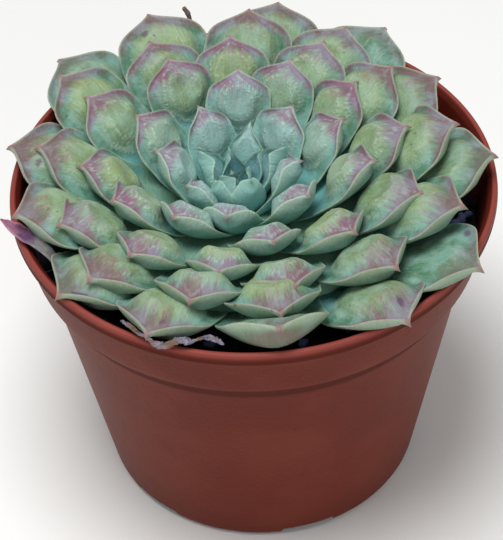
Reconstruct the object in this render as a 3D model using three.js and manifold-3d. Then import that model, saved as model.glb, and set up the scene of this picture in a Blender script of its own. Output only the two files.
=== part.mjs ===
// Potted echeveria hybrid: a flat, cup-shaped rosette of fleshy pointed leaves that fills the mouth
// of a round plastic nursery pot. Millimetres, +Z up. The origin is the middle of the flat underside
// of the pot, so the pot's axis is the Z axis. -Y is the side that faces a viewer.
import * as THREE from 'three';
import { mergeVertices } from 'three/addons/utils/BufferGeometryUtils.js';
import Module from 'manifold-3d';

const wasm = await Module();
wasm.setup();

// Driving dimensions
const rimRadius = 60;            // outside of the rolled lip
const potHeight = 86.5;
const potWall = 1.2;
const lipHeight = 3.6;
const collarTopRadius = 58.4;    // outside of the straight band under the lip
const collarFootRadius = 56.1;
const collarFoot = 70.9;         // height at which the band ends
const stepRadius = 52.4;         // outside of the body just under the band
const stepFoot = 64.6;
const footRadius = 40.2;         // outside of the body at the table
const floorThickness = 1.6;
const notchWidth = 15;           // slots in the foot that let water out
const notchHeight = 2.3;
const notchDepth = 9;
const notchCount = 6;
const firstNotchTurn = -75;
const drainRadius = 3.2;         // round holes in the floor
const drainRing = 25;
const potSides = 60;

const clearance = 0.3;           // between pieces that touch
const soilTop = 73.5;

// The rosette's own axis is a little off the pot's, and it leans a little toward the viewer
const rosetteAxis = new THREE.Vector2(-3.3, -1.1);
const rosetteLean = new THREE.Vector2(0.03, 0.06);
const leafCount = 67;
const smallLeaf = 12;            // blades narrower than this get fewer cuts
const firstLeafTurn = 204.1;     // degrees, the turn of the innermost leaf
const turnPerLeaf = 138.57;
const turnLoss = 18.7;           // how far the outermost leaves have twisted back

const stemRadius = 6;
const stemFoot = 58;
const stemTop = 79;
const stemSides = 16;
const coreSides = 28;

// A blade's form, counted in leaf widths: the upper face swells into a pillow, the edges stand up as
// the rim of a cup, the keel hangs below and the pointed tip bends down
const pillowPlace = 0.42;        // from the tip
const pillowToTip = 0.33;
const pillowToRoot = 0.7;
const pillowToEdge = 0.76;       // as a share of half the width
const hookLength = 0.22;
const keelAtRoot = 0.09;
const keelAtTip = 0.18;
const youngNarrowing = 0.22;     // how far the edges of a young, folded leaf draw together

const stripThickness = 0.8;      // the dead leaves
const stalkRadius = 0.8;

const rad = THREE.MathUtils.degToRad;
const { lerp, clamp, smoothstep } = THREE.MathUtils;

// Straight stretches between a few growth stages, each stage being [leaf number, value]
function byStage(stages, n) {
  for (let i = 1; i < stages.length; i += 1) {
    const [n0, v0] = stages[i - 1];
    const [n1, v1] = stages[i];
    if (n <= n1) return lerp(v0, v1, (n - n0) / (n1 - n0));
  }
  return stages[stages.length - 1][1];
}

// How far out and how high the leaf tips are, from the heart of the rosette to its rim
const tipReach = [[0, 1.4], [2, 4.2], [5, 6], [8, 9.8], [14, 15.5], [26, 33.3], [42, 48.1], [66, 63]];
const tipHeight = [
  [0, 87], [2, 88.6], [5, 91], [8, 94], [11, 95.8], [14, 97.5], [26, 96.9], [42, 96.2], [66, 89.8],
];
const leafWidth = [
  [0, 4], [2, 6.5], [4, 8.5], [7, 10.5], [12, 13.5], [16, 15.5], [28, 18], [42, 21.8], [55, 24.8], [66, 27],
];
const rootReach = [[0, 0.6], [16, 3.5], [66, 6]];
const rootHeight = [[0, 82], [6, 80.5], [16, 78], [24, 77], [66, 78.5]];

// The form of the blade as it ages: the degrees that it curves up on its way, and as shares of its
// width the bend of the tip, the lift of the edges and the height of the pillow. Young leaves are
// narrow and folded along the middle
const leafSag = [[0, 3], [8, 8], [16, 16], [26, 23], [42, 23], [66, 20]];
const leafHook = [[0, 0.02], [6, 0.04], [14, 0.08], [66, 0.08]];
const leafCup = [[0, 3], [5, 4.5], [10, 4], [14, 2], [18, 1.2], [30, 0.9], [66, 0.9]];
const leafPillow = [[0, 0.03], [8, 0.06], [16, 0.13], [30, 0.16], [66, 0.15]];
const leafYouth = [[0, 1], [8, 1], [13, 0.6], [17, 0], [66, 0]];

// Half the blade's width, as a share, and the lift of its edges, as a share of its width, at
// distances from the tip that are counted in leaf widths
const outline = [
  [0, 0], [0.05, 0.13], [0.09, 0.27], [0.16, 0.58], [0.22, 0.78], [0.3, 0.92], [0.5, 1], [0.9, 0.97],
  [1.4, 0.84], [2.3, 0.6],
];
const youngOutline = [
  [0, 0], [0.06, 0.06], [0.13, 0.15], [0.2, 0.25], [0.4, 0.55], [0.65, 0.88], [0.8, 0.97], [1.1, 1],
  [1.6, 0.84], [2.3, 0.6],
];
const edgeLift = [
  [0, 0], [0.08, 0.035], [0.18, 0.07], [0.35, 0.055], [0.6, 0.045], [1, 0.055], [1.6, 0.06], [2.4, 0.05],
];

// Where along a blade its sections lie, for the small ones and the rest, and across it the points of
// a section on the upper face and under the keel
const smallSections = [0.07, 0.2, 0.45, 0.9];
const sections = [0.07, 0.16, 0.27, 0.5, 1.05];
const upperStops = [-1, -0.72, -0.35, 0.35, 0.72, 1];
const lowerStops = [0.55, 0, -0.55];

// Leaves that stray from the rule: by how many degrees, how far out and how much higher
const witheredLeaf = 65;
const strays = new Map([
  [1, [60, 0.6, 2.5]], [4, [7, 3.5, 1.5]], [5, [10, -1.5, -0.5]], [6, [0, -0.5, -2]],
  [7, [15, -1, -0.5]], [8, [-8, -0.5, 0.5]], [9, [4, 1, 0.5]], [10, [9, -1.5, -0.5]],
  [11, [2, -4.5, -0.5]], [12, [9, -1, -1]], [13, [7, 0.5, -2]], [15, [-2, 2, 0]], [16, [0, 1.5, -2]],
  [17, [8, 0, 0]], [18, [-3, -1.5, 0]], [20, [-5, 2.5, 2]], [22, [7, -0.5, 1]], [24, [-3, 1, 0]],
  [25, [0, 1.5, 1]], [27, [5, -1, 2]], [28, [-3, 2, 1.5]], [29, [3, 2, -1]], [31, [4, 0.5, -1.5]],
  [33, [0, 1, 1]], [36, [2, 1, 0]], [37, [1, 1.5, -1]], [38, [-3, -0.5, 0]], [39, [4, 2, 0]],
  [43, [2, -1, 0]], [45, [3, 3, 0]], [46, [-2, 1.5, 1]], [48, [3, 1.5, 1.5]], [49, [1, 3, 0]],
  [50, [-0.5, -1, 1.3]], [52, [-1, 1.5, 1.7]], [53, [5, 1.5, 1.5]], [54, [0, 3, 1.5]],
  [55, [-3, 1, 0]], [57, [2, 0, 0]], [58, [2, 6, -1]], [59, [-3, 1.5, 0]], [60, [1, -2, 0]],
  [61, [2, 2, 0]], [62, [0, 2, 0]], [63, [4, -2.5, 7.5]], [66, [0, 3, 0]],
]);
const moreSag = new Map([[52, -3], [63, 26]]);
const lessCup = new Map([[8, 2.4], [11, 2.2], [13, 1.2]]);
const lessPillow = new Map([[63, 0.1]]);
const oddRoots = new Map([[63, [20, 81]]]);

function leafPlan(n) {
  const [moreTurn, moreReach, moreHeight] = strays.get(n) ?? [0, 0, 0];
  const turn = rad(firstLeafTurn + turnPerLeaf * n - turnLoss * (n / 60) ** 2 + moreTurn);
  const reach = byStage(tipReach, n) + moreReach;
  const lean = rosetteLean.dot(new THREE.Vector2(Math.cos(turn), Math.sin(turn)));
  return {
    turn,
    width: byStage(leafWidth, n),
    tip: new THREE.Vector2(reach, byStage(tipHeight, n) + lean * reach + moreHeight),
    root: new THREE.Vector2(...(oddRoots.get(n) ?? [byStage(rootReach, n), byStage(rootHeight, n)])),
    sag: rad(byStage(leafSag, n) + (moreSag.get(n) ?? 0)),
    hookShare: byStage(leafHook, n),
    cup: byStage(leafCup, n) - (lessCup.get(n) ?? 0),
    pillow: byStage(leafPillow, n) - (lessPillow.get(n) ?? 0),
    youth: byStage(leafYouth, n),
  };
}

// The pillow's share of its full height: steep at its sides and front, and gentle toward the root
function swelling(distance, t) {
  const along = (distance - pillowPlace) / (distance < pillowPlace ? pillowToTip : pillowToRoot);
  return 1 - smoothstep(Math.hypot(along, t / pillowToEdge), 0.45, 1);
}

// A leaf blade: sections across its path, each a ring of points from edge to edge over the upper
// face and back under the keel
function leafGeometry(plan) {
  const { turn, width, root, sag, youth } = plan;
  const hook = plan.hookShare * width;
  const chord = plan.tip.clone().sub(root);
  const along = chord.angle();
  const tip = plan.tip.clone().add(new THREE.Vector2(-Math.sin(along), Math.cos(along)).multiplyScalar(hook));
  const length = tip.distanceTo(root);
  const pull = length / 3;
  const path = new THREE.CubicBezierCurve(
    root,
    root.clone().add(new THREE.Vector2(Math.cos(along - sag), Math.sin(along - sag)).multiplyScalar(pull)),
    tip.clone().sub(new THREE.Vector2(Math.cos(along + sag), Math.sin(along + sag)).multiplyScalar(pull)),
    tip,
  );
  const out = new THREE.Vector3(Math.cos(turn), Math.sin(turn), 0);
  const side = new THREE.Vector3(-Math.sin(turn), Math.cos(turn), 0);
  const up = new THREE.Vector3(0, 0, 1);
  const cuts = width < smallLeaf ? smallSections : sections;
  const rings = [...cuts.filter((distance) => distance * width < 0.9 * length), length / width];

  const place = (distance, across, lift) => {
    const s = clamp(1 - (distance * width) / length, 0, 1);
    const point = path.getPoint(s);
    const tangent = path.getTangent(s);
    const bend = hook * Math.max(0, 1 - distance / hookLength) ** 2;
    const rise = lift - bend;
    return out.clone().multiplyScalar(point.x - tangent.y * rise)
      .addScaledVector(up, point.y + tangent.x * rise)
      .addScaledVector(side, across);
  };

  const positions = [];
  const pushPoint = (p) => positions.push(p.x + rosetteAxis.x, p.y + rosetteAxis.y, p.z);
  for (const distance of rings) {
    const half = (width / 2) * lerp(byStage(outline, distance), byStage(youngOutline, distance), youth);
    const ripe = clamp(1.7 - distance, 0, 1);
    const cup = width * plan.cup * byStage(edgeLift, distance);
    const keel = width * lerp(keelAtRoot, keelAtTip, ripe) * clamp(distance / 0.25, 0.3, 1);
    const pushAt = (t, lift) => {
      const across = half * t * (1 - youngNarrowing * youth * t * t);
      pushPoint(place(distance, across, cup * Math.abs(t) ** (2.2 - 0.8 * youth) + lift));
    };
    for (const t of upperStops) pushAt(t, plan.pillow * width * swelling(distance, t));
    for (const t of lowerStops) pushAt(t, -keel * (1 - Math.abs(t) ** 1.7));
  }
  pushPoint(place(0, 0, 0));
  pushPoint(place(length / width, 0, 0));
  const perRing = upperStops.length + lowerStops.length;
  const tipIndex = rings.length * perRing;
  const rootIndex = tipIndex + 1;
  const last = (rings.length - 1) * perRing;
  const index = [];
  for (let j = 0; j < perRing; j += 1) {
    const k = (j + 1) % perRing;
    index.push(tipIndex, k, j);
    for (let i = 0; i < last; i += perRing) {
      index.push(i + j, i + k, i + perRing + k, i + j, i + perRing + k, i + perRing + j);
    }
    index.push(last + j, last + k, rootIndex);
  }
  const geometry = new THREE.BufferGeometry();
  geometry.setAttribute('position', new THREE.Float32BufferAttribute(positions, 3));
  geometry.setIndex(index);
  return geometry;
}

// Solids for joining and cutting, and back to meshes
function toSolid(geometry) {
  const plain = geometry.clone();
  plain.deleteAttribute('normal');
  plain.deleteAttribute('uv');
  const merged = mergeVertices(plain, 1e-4);
  return new wasm.Manifold(new wasm.Mesh({
    numProp: 3,
    vertProperties: Float32Array.from(merged.attributes.position.array),
    triVerts: Uint32Array.from(merged.index.array),
  }));
}

function toGeometry(solid) {
  const mesh = solid.getMesh();
  const geometry = new THREE.BufferGeometry();
  geometry.setAttribute('position', new THREE.BufferAttribute(Float32Array.from(mesh.vertProperties), 3));
  geometry.setIndex(new THREE.BufferAttribute(Uint32Array.from(mesh.triVerts), 1));
  geometry.computeVertexNormals();
  return geometry;
}

// A turned shape whose outline is [radius, height] points, from the bottom of the axis to its top
function turned(points, sides) {
  const outlinePoints = points.map(([r, z]) => new THREE.Vector2(r, z));
  return new THREE.LatheGeometry(outlinePoints, sides).rotateX(Math.PI / 2);
}

// Inside radius of the pot's wall at a height
function insideRadius(height) {
  const wallLine = [
    [0, footRadius], [stepFoot, stepRadius], [collarFoot, collarFootRadius], [potHeight, collarTopRadius],
  ];
  return byStage(wallLine, height) - potWall;
}

function potGeometry() {
  const lipFoot = potHeight - lipHeight;
  const outside = [
    [0, 0],
    [footRadius - 1, 0],
    [footRadius, 1],
    [stepRadius, stepFoot],
    [collarFootRadius, collarFoot],
    [collarTopRadius, lipFoot],
    [rimRadius - 0.5, lipFoot + 0.4],
    [rimRadius, lipFoot + 1.4],
    [rimRadius - 0.2, potHeight - 0.9],
    [rimRadius - 1, potHeight],
    [rimRadius - 2.2, potHeight],
  ];
  const inside = [
    [insideRadius(potHeight), potHeight - 0.7],
    [insideRadius(collarFoot), collarFoot],
    [insideRadius(stepFoot), stepFoot],
    [insideRadius(floorThickness + 1), floorThickness + 1],
    [insideRadius(floorThickness) - 1, floorThickness],
    [0, floorThickness],
  ];
  let pot = toSolid(turned([...outside, ...inside], potSides));
  for (let i = 0; i < notchCount; i += 1) {
    const turn = rad(firstNotchTurn + (360 / notchCount) * i);
    const notch = new THREE.BoxGeometry(notchDepth, notchWidth, 2 * notchHeight)
      .translate(footRadius, 0, 0).rotateZ(turn);
    const drain = new THREE.CylinderGeometry(drainRadius, drainRadius, 8, 12)
      .rotateX(Math.PI / 2).translate(drainRing, 0, 0).rotateZ(turn);
    pot = pot.subtract(toSolid(notch)).subtract(toSolid(drain));
  }
  return toGeometry(pot);
}

function soilGeometry() {
  const foot = floorThickness + clearance;
  const wallAt = (height) => [insideRadius(height) - clearance - 0.15, height];
  const profile = [
    [0, foot],
    [insideRadius(foot) - 1.8, foot],
    wallAt(foot + 2),
    wallAt(stepFoot - 0.6),
    wallAt(collarFoot - 0.6),
    wallAt(soilTop),
    [46, soilTop + 0.4],
    [34, soilTop - 0.4],
    [0, soilTop - 0.6],
  ];
  const hole = new THREE.CylinderGeometry(stemRadius + clearance, stemRadius + clearance, 60, 20)
    .rotateX(Math.PI / 2).translate(rosetteAxis.x, rosetteAxis.y, stemFoot - clearance + 30);
  return toGeometry(toSolid(turned(profile, potSides)).subtract(toSolid(hole)));
}

// The space that leaves resting on the rim give way to: the lip and the wall below it, a little larger
function rimSpace() {
  const low = soilTop + 3;
  const gap = 1.2 * clearance;
  return toSolid(turned([
    [insideRadius(low) - gap, low],
    [rimRadius + 3, low],
    [rimRadius + gap, potHeight - 3],
    [rimRadius + gap - 0.1, potHeight - 0.7],
    [rimRadius - 0.9, potHeight + gap],
    [rimRadius - 2.3, potHeight + gap],
    [insideRadius(potHeight) - gap, potHeight - 0.5],
    [insideRadius(low) - gap, low],
  ], potSides));
}

function rosetteGeometry() {
  const stem = new THREE.CylinderGeometry(stemRadius, stemRadius - 1, stemTop - stemFoot, stemSides)
    .rotateX(Math.PI / 2).translate(0, 0, (stemTop + stemFoot) / 2);
  const heart = turned([
    [0, 76.5], [8, 76.5], [22, 77.5], [36, 80.5],
    [43, 84], [38, 87], [30, 86.5], [20, 84.5], [12, 82.5], [0, 82.5],
  ], coreSides);
  const solids = [stem, heart].map((g) => toSolid(g.translate(rosetteAxis.x, rosetteAxis.y, 0)));
  for (let n = 0; n < leafCount; n += 1) {
    if (n !== witheredLeaf) solids.push(toSolid(leafGeometry(leafPlan(n))));
  }
  const bodies = wasm.Manifold.union(solids).subtract(rimSpace()).decompose();
  bodies.sort((a, b) => b.volume() - a.volume());
  return toGeometry(bodies[0]);
}

// A thin strip along a line of [x, y, z] points, with its half width at each one and a tilt, in
// degrees, of its outer edge. Both faces are split into triangles alike
function stripGeometry(stops, thickness, steps) {
  const line = new THREE.CatmullRomCurve3(stops.map(([x, y, z]) => new THREE.Vector3(x, y, z)));
  const positions = [];
  for (let i = 0; i <= steps; i += 1) {
    const s = i / steps;
    const centre = line.getPoint(s);
    const tangent = line.getTangent(s);
    const at = s * (stops.length - 1);
    const low = Math.min(Math.floor(at), stops.length - 2);
    const half = lerp(stops[low][3], stops[low + 1][3], at - low);
    const tilt = rad(lerp(stops[low][4], stops[low + 1][4], at - low));
    const level = new THREE.Vector3(tangent.y, -tangent.x, 0).normalize();
    const across = level.clone().multiplyScalar(Math.cos(tilt)).add(new THREE.Vector3(0, 0, Math.sin(tilt)));
    const normal = across.clone().cross(tangent).normalize();
    for (const [sideways, lift] of [[-1, 0], [0, 0.35], [1, 0], [1, -1], [0, -0.65], [-1, -1]]) {
      const p = centre.clone().addScaledVector(across, half * sideways)
        .addScaledVector(normal, thickness * lift);
      positions.push(p.x, p.y, p.z);
    }
  }
  const perRing = 6;
  const index = [];
  for (let i = 0; i < steps; i += 1) {
    for (let j = 0; j < perRing; j += 1) {
      const a = i * perRing + j;
      const b = i * perRing + ((j + 1) % perRing);
      index.push(a, b, b + perRing, a, b + perRing, a + perRing);
    }
  }
  const end = steps * perRing;
  for (const [a, b, c] of [[0, 1, 4], [0, 4, 5], [1, 2, 3], [1, 3, 4]]) {
    index.push(a, c, b, end + a, end + b, end + c);
  }
  const geometry = new THREE.BufferGeometry();
  geometry.setAttribute('position', new THREE.Float32BufferAttribute(positions, 3));
  geometry.setIndex(index);
  return geometry;
}

// The oldest leaf has shrivelled to a strap that hangs over the rim
function witheredLeafGeometry() {
  return stripGeometry([
    [-43.5, -26.4, 80.2, 1, 0],
    [-47.5, -23.9, 84, 1.4, 0],
    [-51.5, -21, 87.5, 1.7, 5],
    [-55, -17.8, 87.8, 2.1, 5],
    [-58.5, -14.2, 87.8, 1.8, 5],
    [-61.6, -11.2, 87.8, 0.4, 0],
  ], stripThickness, 14);
}

// A dead leaf, dried to paper, lies crumpled on the rim under the lowest leaves
function dryLeafGeometry() {
  return stripGeometry([
    [-32, -48.9, 87.6, 0.8, 0],
    [-28.8, -52.9, 87.7, 1.3, 6],
    [-23.9, -56.4, 87.7, 1.8, -6],
    [-18.4, -55.6, 87.9, 1.9, 10],
    [-13.6, -54.6, 87.8, 1.6, -10],
    [-9.2, -54.3, 87.2, 1.1, 12],
    [-5.2, -54.4, 85.6, 0.6, 0],
  ], stripThickness, 24);
}

// What is left of an old flower stalk, behind the leaves
function flowerStalkGeometry() {
  const line = new THREE.CatmullRomCurve3([
    new THREE.Vector3(-12.5, 49.5, soilTop + 0.75),
    new THREE.Vector3(-13.6, 51.6, 86),
    new THREE.Vector3(-14.4, 52.9, 96.5),
    new THREE.Vector3(-16, 53.1, 100.5),
  ]);
  const round = new THREE.EllipseCurve(0, 0, stalkRadius, stalkRadius).getPoints(8).slice(0, 8);
  const section = new THREE.Shape(round);
  return new THREE.ExtrudeGeometry(section, { extrudePath: line, steps: 14, bevelEnabled: false });
}

function piece(name, geometry, colour, roughness) {
  const material = new THREE.MeshStandardMaterial({ color: colour, roughness, metalness: 0 });
  const mesh = new THREE.Mesh(geometry, material);
  mesh.name = name;
  return mesh;
}

const plant = new THREE.Group();
plant.add(
  piece('pot', potGeometry(), 0x7a3b30, 0.45),
  piece('soil', soilGeometry(), 0x17130f, 0.95),
  piece('rosette', rosetteGeometry(), 0x8fb59a, 0.5),
  piece('withered_leaf', witheredLeafGeometry(), 0x9a5f7c, 0.7),
  piece('dry_leaf', dryLeafGeometry(), 0xa79f98, 0.9),
  piece('flower_stalk', flowerStalkGeometry(), 0x7d5a4c, 0.85),
);
export default plant;
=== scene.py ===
# %% [markdown]
# # A potted echeveria, dressed for its portrait
# The CAD part gives this plant its true places and sizes: a plastic nursery pot, the mix that fills it,
# a rosette of 66 fleshy leaves, two dead leaves and an old flower stalk. Every blade there is made of a
# few dozen flat faces. Here each of those parts is built again with many more points, in the same place
# and of the same form, and gets a finish. The lesson goes from the pot inward, and then out to the light.

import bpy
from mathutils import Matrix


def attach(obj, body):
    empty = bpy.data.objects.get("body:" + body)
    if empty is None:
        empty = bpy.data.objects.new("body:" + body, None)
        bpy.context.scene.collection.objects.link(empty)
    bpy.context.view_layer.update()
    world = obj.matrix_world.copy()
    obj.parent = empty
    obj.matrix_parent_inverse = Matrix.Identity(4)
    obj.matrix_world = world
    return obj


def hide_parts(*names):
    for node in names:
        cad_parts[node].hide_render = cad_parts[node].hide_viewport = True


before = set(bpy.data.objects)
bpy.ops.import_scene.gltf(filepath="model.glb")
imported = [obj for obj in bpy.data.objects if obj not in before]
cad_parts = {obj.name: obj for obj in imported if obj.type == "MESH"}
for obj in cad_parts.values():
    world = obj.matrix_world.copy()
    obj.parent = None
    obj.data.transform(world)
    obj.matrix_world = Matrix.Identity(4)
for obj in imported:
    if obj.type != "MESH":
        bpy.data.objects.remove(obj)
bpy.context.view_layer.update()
print("nodes:", sorted(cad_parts))

# %% [markdown]
# Next come the modules. Blender's own is bpy, bmesh builds meshes by hand, mathutils holds vectors and
# matrices, and numpy works on thousands of points at once.

# %% Bring in the tools
import math
from types import SimpleNamespace

import bmesh
import bpy
import numpy as np
from mathutils import Matrix, Vector

MM = 0.001                    # the shapes are worked out in millimetres, Blender keeps metres
scene = bpy.context.scene
print("scene:", scene.name, "in Blender", bpy.app.version_string)

# %% [markdown]
# ## From lists of points to pieces
# Python can hand a mesh to Blender as a list of points and a list of faces. That suits this plant, since
# a leaf is a formula. Numbers that a finish needs later, such as how far a point is from the leaf's edge,
# are stored with the points as attributes, so a finish never needs a picture to know where it is.

# %% A helper that makes one piece
def make_piece(name, points, faces, node, slot, facts=None, sharp_above=None):
    mesh = bpy.data.meshes.new(name)
    mesh.from_pydata((np.asarray(points) * MM).tolist(), [], faces)
    mesh.validate()
    mesh.polygons.foreach_set("use_smooth", [True] * len(mesh.polygons))
    for fact, values in (facts or {}).items():
        values = np.asarray(values, np.float32)
        kind, field = ("FLOAT", "value") if values.ndim == 1 else ("FLOAT_VECTOR", "vector")
        mesh.attributes.new(fact, kind, "POINT").data.foreach_set(field, values.ravel())
    if sharp_above is not None:
        mesh.set_sharp_from_angle(angle=math.radians(sharp_above))
    piece = bpy.data.objects.new(name, mesh)
    scene.collection.objects.link(piece)
    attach(piece, "root")
    if node is not None:
        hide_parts(node)
    triangles = sum(len(p.vertices) - 2 for p in mesh.polygons)
    print(f"{name}: {len(mesh.vertices)} points, {triangles} triangles")
    return piece


# %% [markdown]
# A growing thing has no straight edges. Its outlines are given here as a few measured points, and a smooth
# curve runs through them. It never swings past a point, so a leaf never gets a wave that wasn't measured.

# %% A smooth curve through measured points
def eased(x, xs, ys):
    """A smooth curve through the points that never overshoots them."""
    xs, ys = np.asarray(xs, float), np.asarray(ys, float)
    step = np.diff(xs)
    slope = np.diff(ys) / step
    both = slope[:-1] + slope[1:]
    between = 2 * slope[:-1] * slope[1:] / np.where(both == 0, 1, both)
    inner = np.where(slope[:-1] * slope[1:] > 0, between, 0)
    tangent = np.concatenate([[slope[0]], inner, [slope[-1]]])
    x = np.clip(x, xs[0], xs[-1])
    k = np.clip(np.searchsorted(xs, x, side="right") - 1, 0, len(step) - 1)
    t = (x - xs[k]) / step[k]
    return (ys[k] * (1 + 2 * t) * (1 - t) ** 2 + ys[k + 1] * t * t * (3 - 2 * t)
            + step[k] * (tangent[k] * t * (1 - t) ** 2 - tangent[k + 1] * t * t * (1 - t)))


def smooth_step(low, high, x):
    t = np.clip((np.asarray(x, float) - low) / (high - low), 0, 1)
    return t * t * (3 - 2 * t)


print("a curve from 0 to 1 at its quarters:", eased([0.25, 0.5, 0.75], [0, 0.5, 1], [0, 0.8, 1]).round(2))

# %% [markdown]
# A growing thing has no two parts alike either. A few sine waves that cross each other make a surface
# softly uneven. They are drawn by lot from a given seed, so they are the same on each run.

# %% Soft waves
def waves(seed, points, size, count=7):
    """Soft unevenness, mostly from -1 to 1, over points of any dimension. Its bumps have about the size."""
    draw = np.random.default_rng(seed)
    points = np.atleast_2d(points)
    total = np.zeros(len(points))
    for _ in range(count):
        direction = draw.normal(size=points.shape[1])
        direction *= draw.uniform(0.6, 1.6) * 2 * math.pi / size / np.linalg.norm(direction)
        total += np.sin(points @ direction + draw.uniform(0, 2 * math.pi))
    return total / math.sqrt(count) / 1.6


print("waves at four places in a row:", waves(1, np.arange(4.0)[:, None], 4.0).round(2))

# %% [markdown]
# The pot, the leaves and the stalk are all rings of points, one after the other. The faces between rings
# are found by counting. A ring is closed at its ends by a fan of triangles, or by one flat face.

# %% Faces for rings of points
def shell_faces(rows, ring, start=0):
    """Faces over rings of points that are followed by the two end points, with a fan at each end."""
    first = start + rows * ring
    last_ring = first - ring
    faces = []
    for j in range(ring):
        k = (j + 1) % ring
        faces.append((first, start + k, start + j))
        faces += [(row + j, row + k, row + ring + k, row + ring + j)
                  for row in range(start, last_ring, ring)]
        faces.append((last_ring + j, last_ring + k, first + 1))
    return faces


def tube_faces(rows, ring):
    """Faces over rings of points, with one flat face at each end."""
    last_ring = (rows - 1) * ring
    faces = [(row + j, row + (j + 1) % ring, row + ring + (j + 1) % ring, row + ring + j)
             for row in range(0, last_ring, ring) for j in range(ring)]
    return faces + [tuple(range(ring - 1, -1, -1)), tuple(range(last_ring, last_ring + ring))]


print("faces of a tube of 3 rings of 4 points:", len(tube_faces(3, 4)))

# %% [markdown]
# ## Sums on shader sockets
# A finish is a net of nodes. Wiring Math nodes by hand is slow to read, so a small class wraps a node's
# output and lets Python's own signs add the Math nodes: `1 - mask` or `grain * 0.3 + 0.5`. Colours are
# mixed with Mix nodes, since a Math node would turn a colour grey.

# %% Wrap a socket
class Value:
    """The output socket of a node, which can be summed and multiplied like a number."""

    def __init__(self, finish, socket):
        self.finish, self.socket = finish, socket

    def _math(self, operation, *terms):
        return self.finish.node("ShaderNodeMath", {"operation": operation}, dict(enumerate(terms)))

    def __add__(self, other):
        return self._math("ADD", self, other)

    def __sub__(self, other):
        return self._math("SUBTRACT", self, other)

    def __rsub__(self, other):
        return self._math("SUBTRACT", other, self)

    def __mul__(self, other):
        return self._math("MULTIPLY", self, other)

    def __pow__(self, other):
        return self._math("POWER", self, other)

    def __abs__(self):
        return self._math("ABSOLUTE", self)

    __radd__ = __add__
    __rmul__ = __mul__


# %% [markdown]
# A finish is a material with the net of nodes behind it. One method adds any node, from its type, its
# settings and what goes into its sockets. The short methods after it are the nodes that this plant needs
# again and again: a stored fact, a soft threshold, a mix of two colours, and noise.

# %% The net behind a material
class Finish:
    """A material and the net of nodes behind it."""

    def __init__(self, name):
        self.material = bpy.data.materials.new(name)
        self.material.use_nodes = True
        self.tree = self.material.node_tree
        self.tree.nodes.clear()

    def node(self, kind, settings=None, inputs=None, output=0):
        """Any node, from its type, its settings, and the values or links of its sockets."""
        made = self.tree.nodes.new(kind)
        for key, value in (settings or {}).items():
            setattr(made, key, value)
        for key, value in (inputs or {}).items():
            if isinstance(value, Value):
                self.tree.links.new(value.socket, made.inputs[key])
            else:
                made.inputs[key].default_value = value
        return Value(self, made.outputs[output]) if made.outputs else None

    def fact(self, name):
        return self.node("ShaderNodeAttribute", {"attribute_name": name}, output="Fac")

    def place(self, name):
        return self.node("ShaderNodeAttribute", {"attribute_name": name}, output="Vector")

    def rise(self, value, low, high):
        """0 below low, 1 above high, and a soft slope between them."""
        return self.node("ShaderNodeMapRange", {"interpolation_type": "SMOOTHSTEP"},
                         {"Value": value, "From Min": low, "From Max": high})

    def mix(self, share, colour_a, colour_b):
        return self.node("ShaderNodeMix", {"data_type": "RGBA"},
                         {0: share, 6: colour_a, 7: colour_b}, output=2)

    def stretched(self, place, scale):
        return self.node("ShaderNodeVectorMath", {"operation": "MULTIPLY"}, {0: place, 1: scale})

    def noise(self, place, scale, detail=3.0, roughness=0.55, distortion=0.0):
        return self.node("ShaderNodeTexNoise", {}, {
            "Vector": place, "Scale": scale, "Detail": detail, "Roughness": roughness,
            "Distortion": distortion})

    def shine(self, colour, roughness, bump=None, bump_depth=0.0002, **constants):
        """Closes the net with the surface shader, and gives back the material."""
        inputs = {"Base Color": colour, "Roughness": roughness}
        inputs.update({key.replace("_", " "): value for key, value in constants.items()})
        if bump is not None:
            inputs["Normal"] = self.node("ShaderNodeBump", {}, {
                "Strength": 1.0, "Distance": bump_depth, "Height": bump})
        surface = self.node("ShaderNodeBsdfPrincipled", {}, inputs)
        self.node("ShaderNodeOutputMaterial", {}, {"Surface": surface})
        print(f"{self.material.name}: {len(self.tree.nodes)} nodes")
        return self.material


# %% [markdown]
# Colours are written as on a paint card for the screen, #rrggbb. A shader counts light itself, of which
# the screen's numbers are a bent measure, so each colour is straightened first.

# %% Read a colour
def paint(code):
    """A colour written as #rrggbb, in the linear numbers that shaders use."""
    parts = [int(code[k:k + 2], 16) / 255 for k in (1, 3, 5)]
    return (*[c / 12.92 if c <= 0.04045 else ((c + 0.055) / 1.055) ** 2.4 for c in parts], 1.0)


print("a middle grey for the screen is", round(paint("#808080")[0], 3), "for a shader")

# %% [markdown]
# ## The camera
# The photograph was taken from above the front of the pot, at about 44 degrees, with the camera a little
# askew. The place was solved from the pot's rim and foot, so the camera is set by numbers.

# %% Place the camera
CAMERA_TILT = 0.76783         # radians above the horizon
CAMERA_REACH = 659.35         # from the target, in mm
CAMERA_TARGET = (-1.343, 0.0, 56.268)     # mm
CAMERA_ROLL = -0.04367        # radians round the line of sight
SENSOR_MM = 36
PICTURE_HEIGHT_PX = 540
FOCAL_PX = 2600.24            # the lens, counted in pixels of the picture

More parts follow.
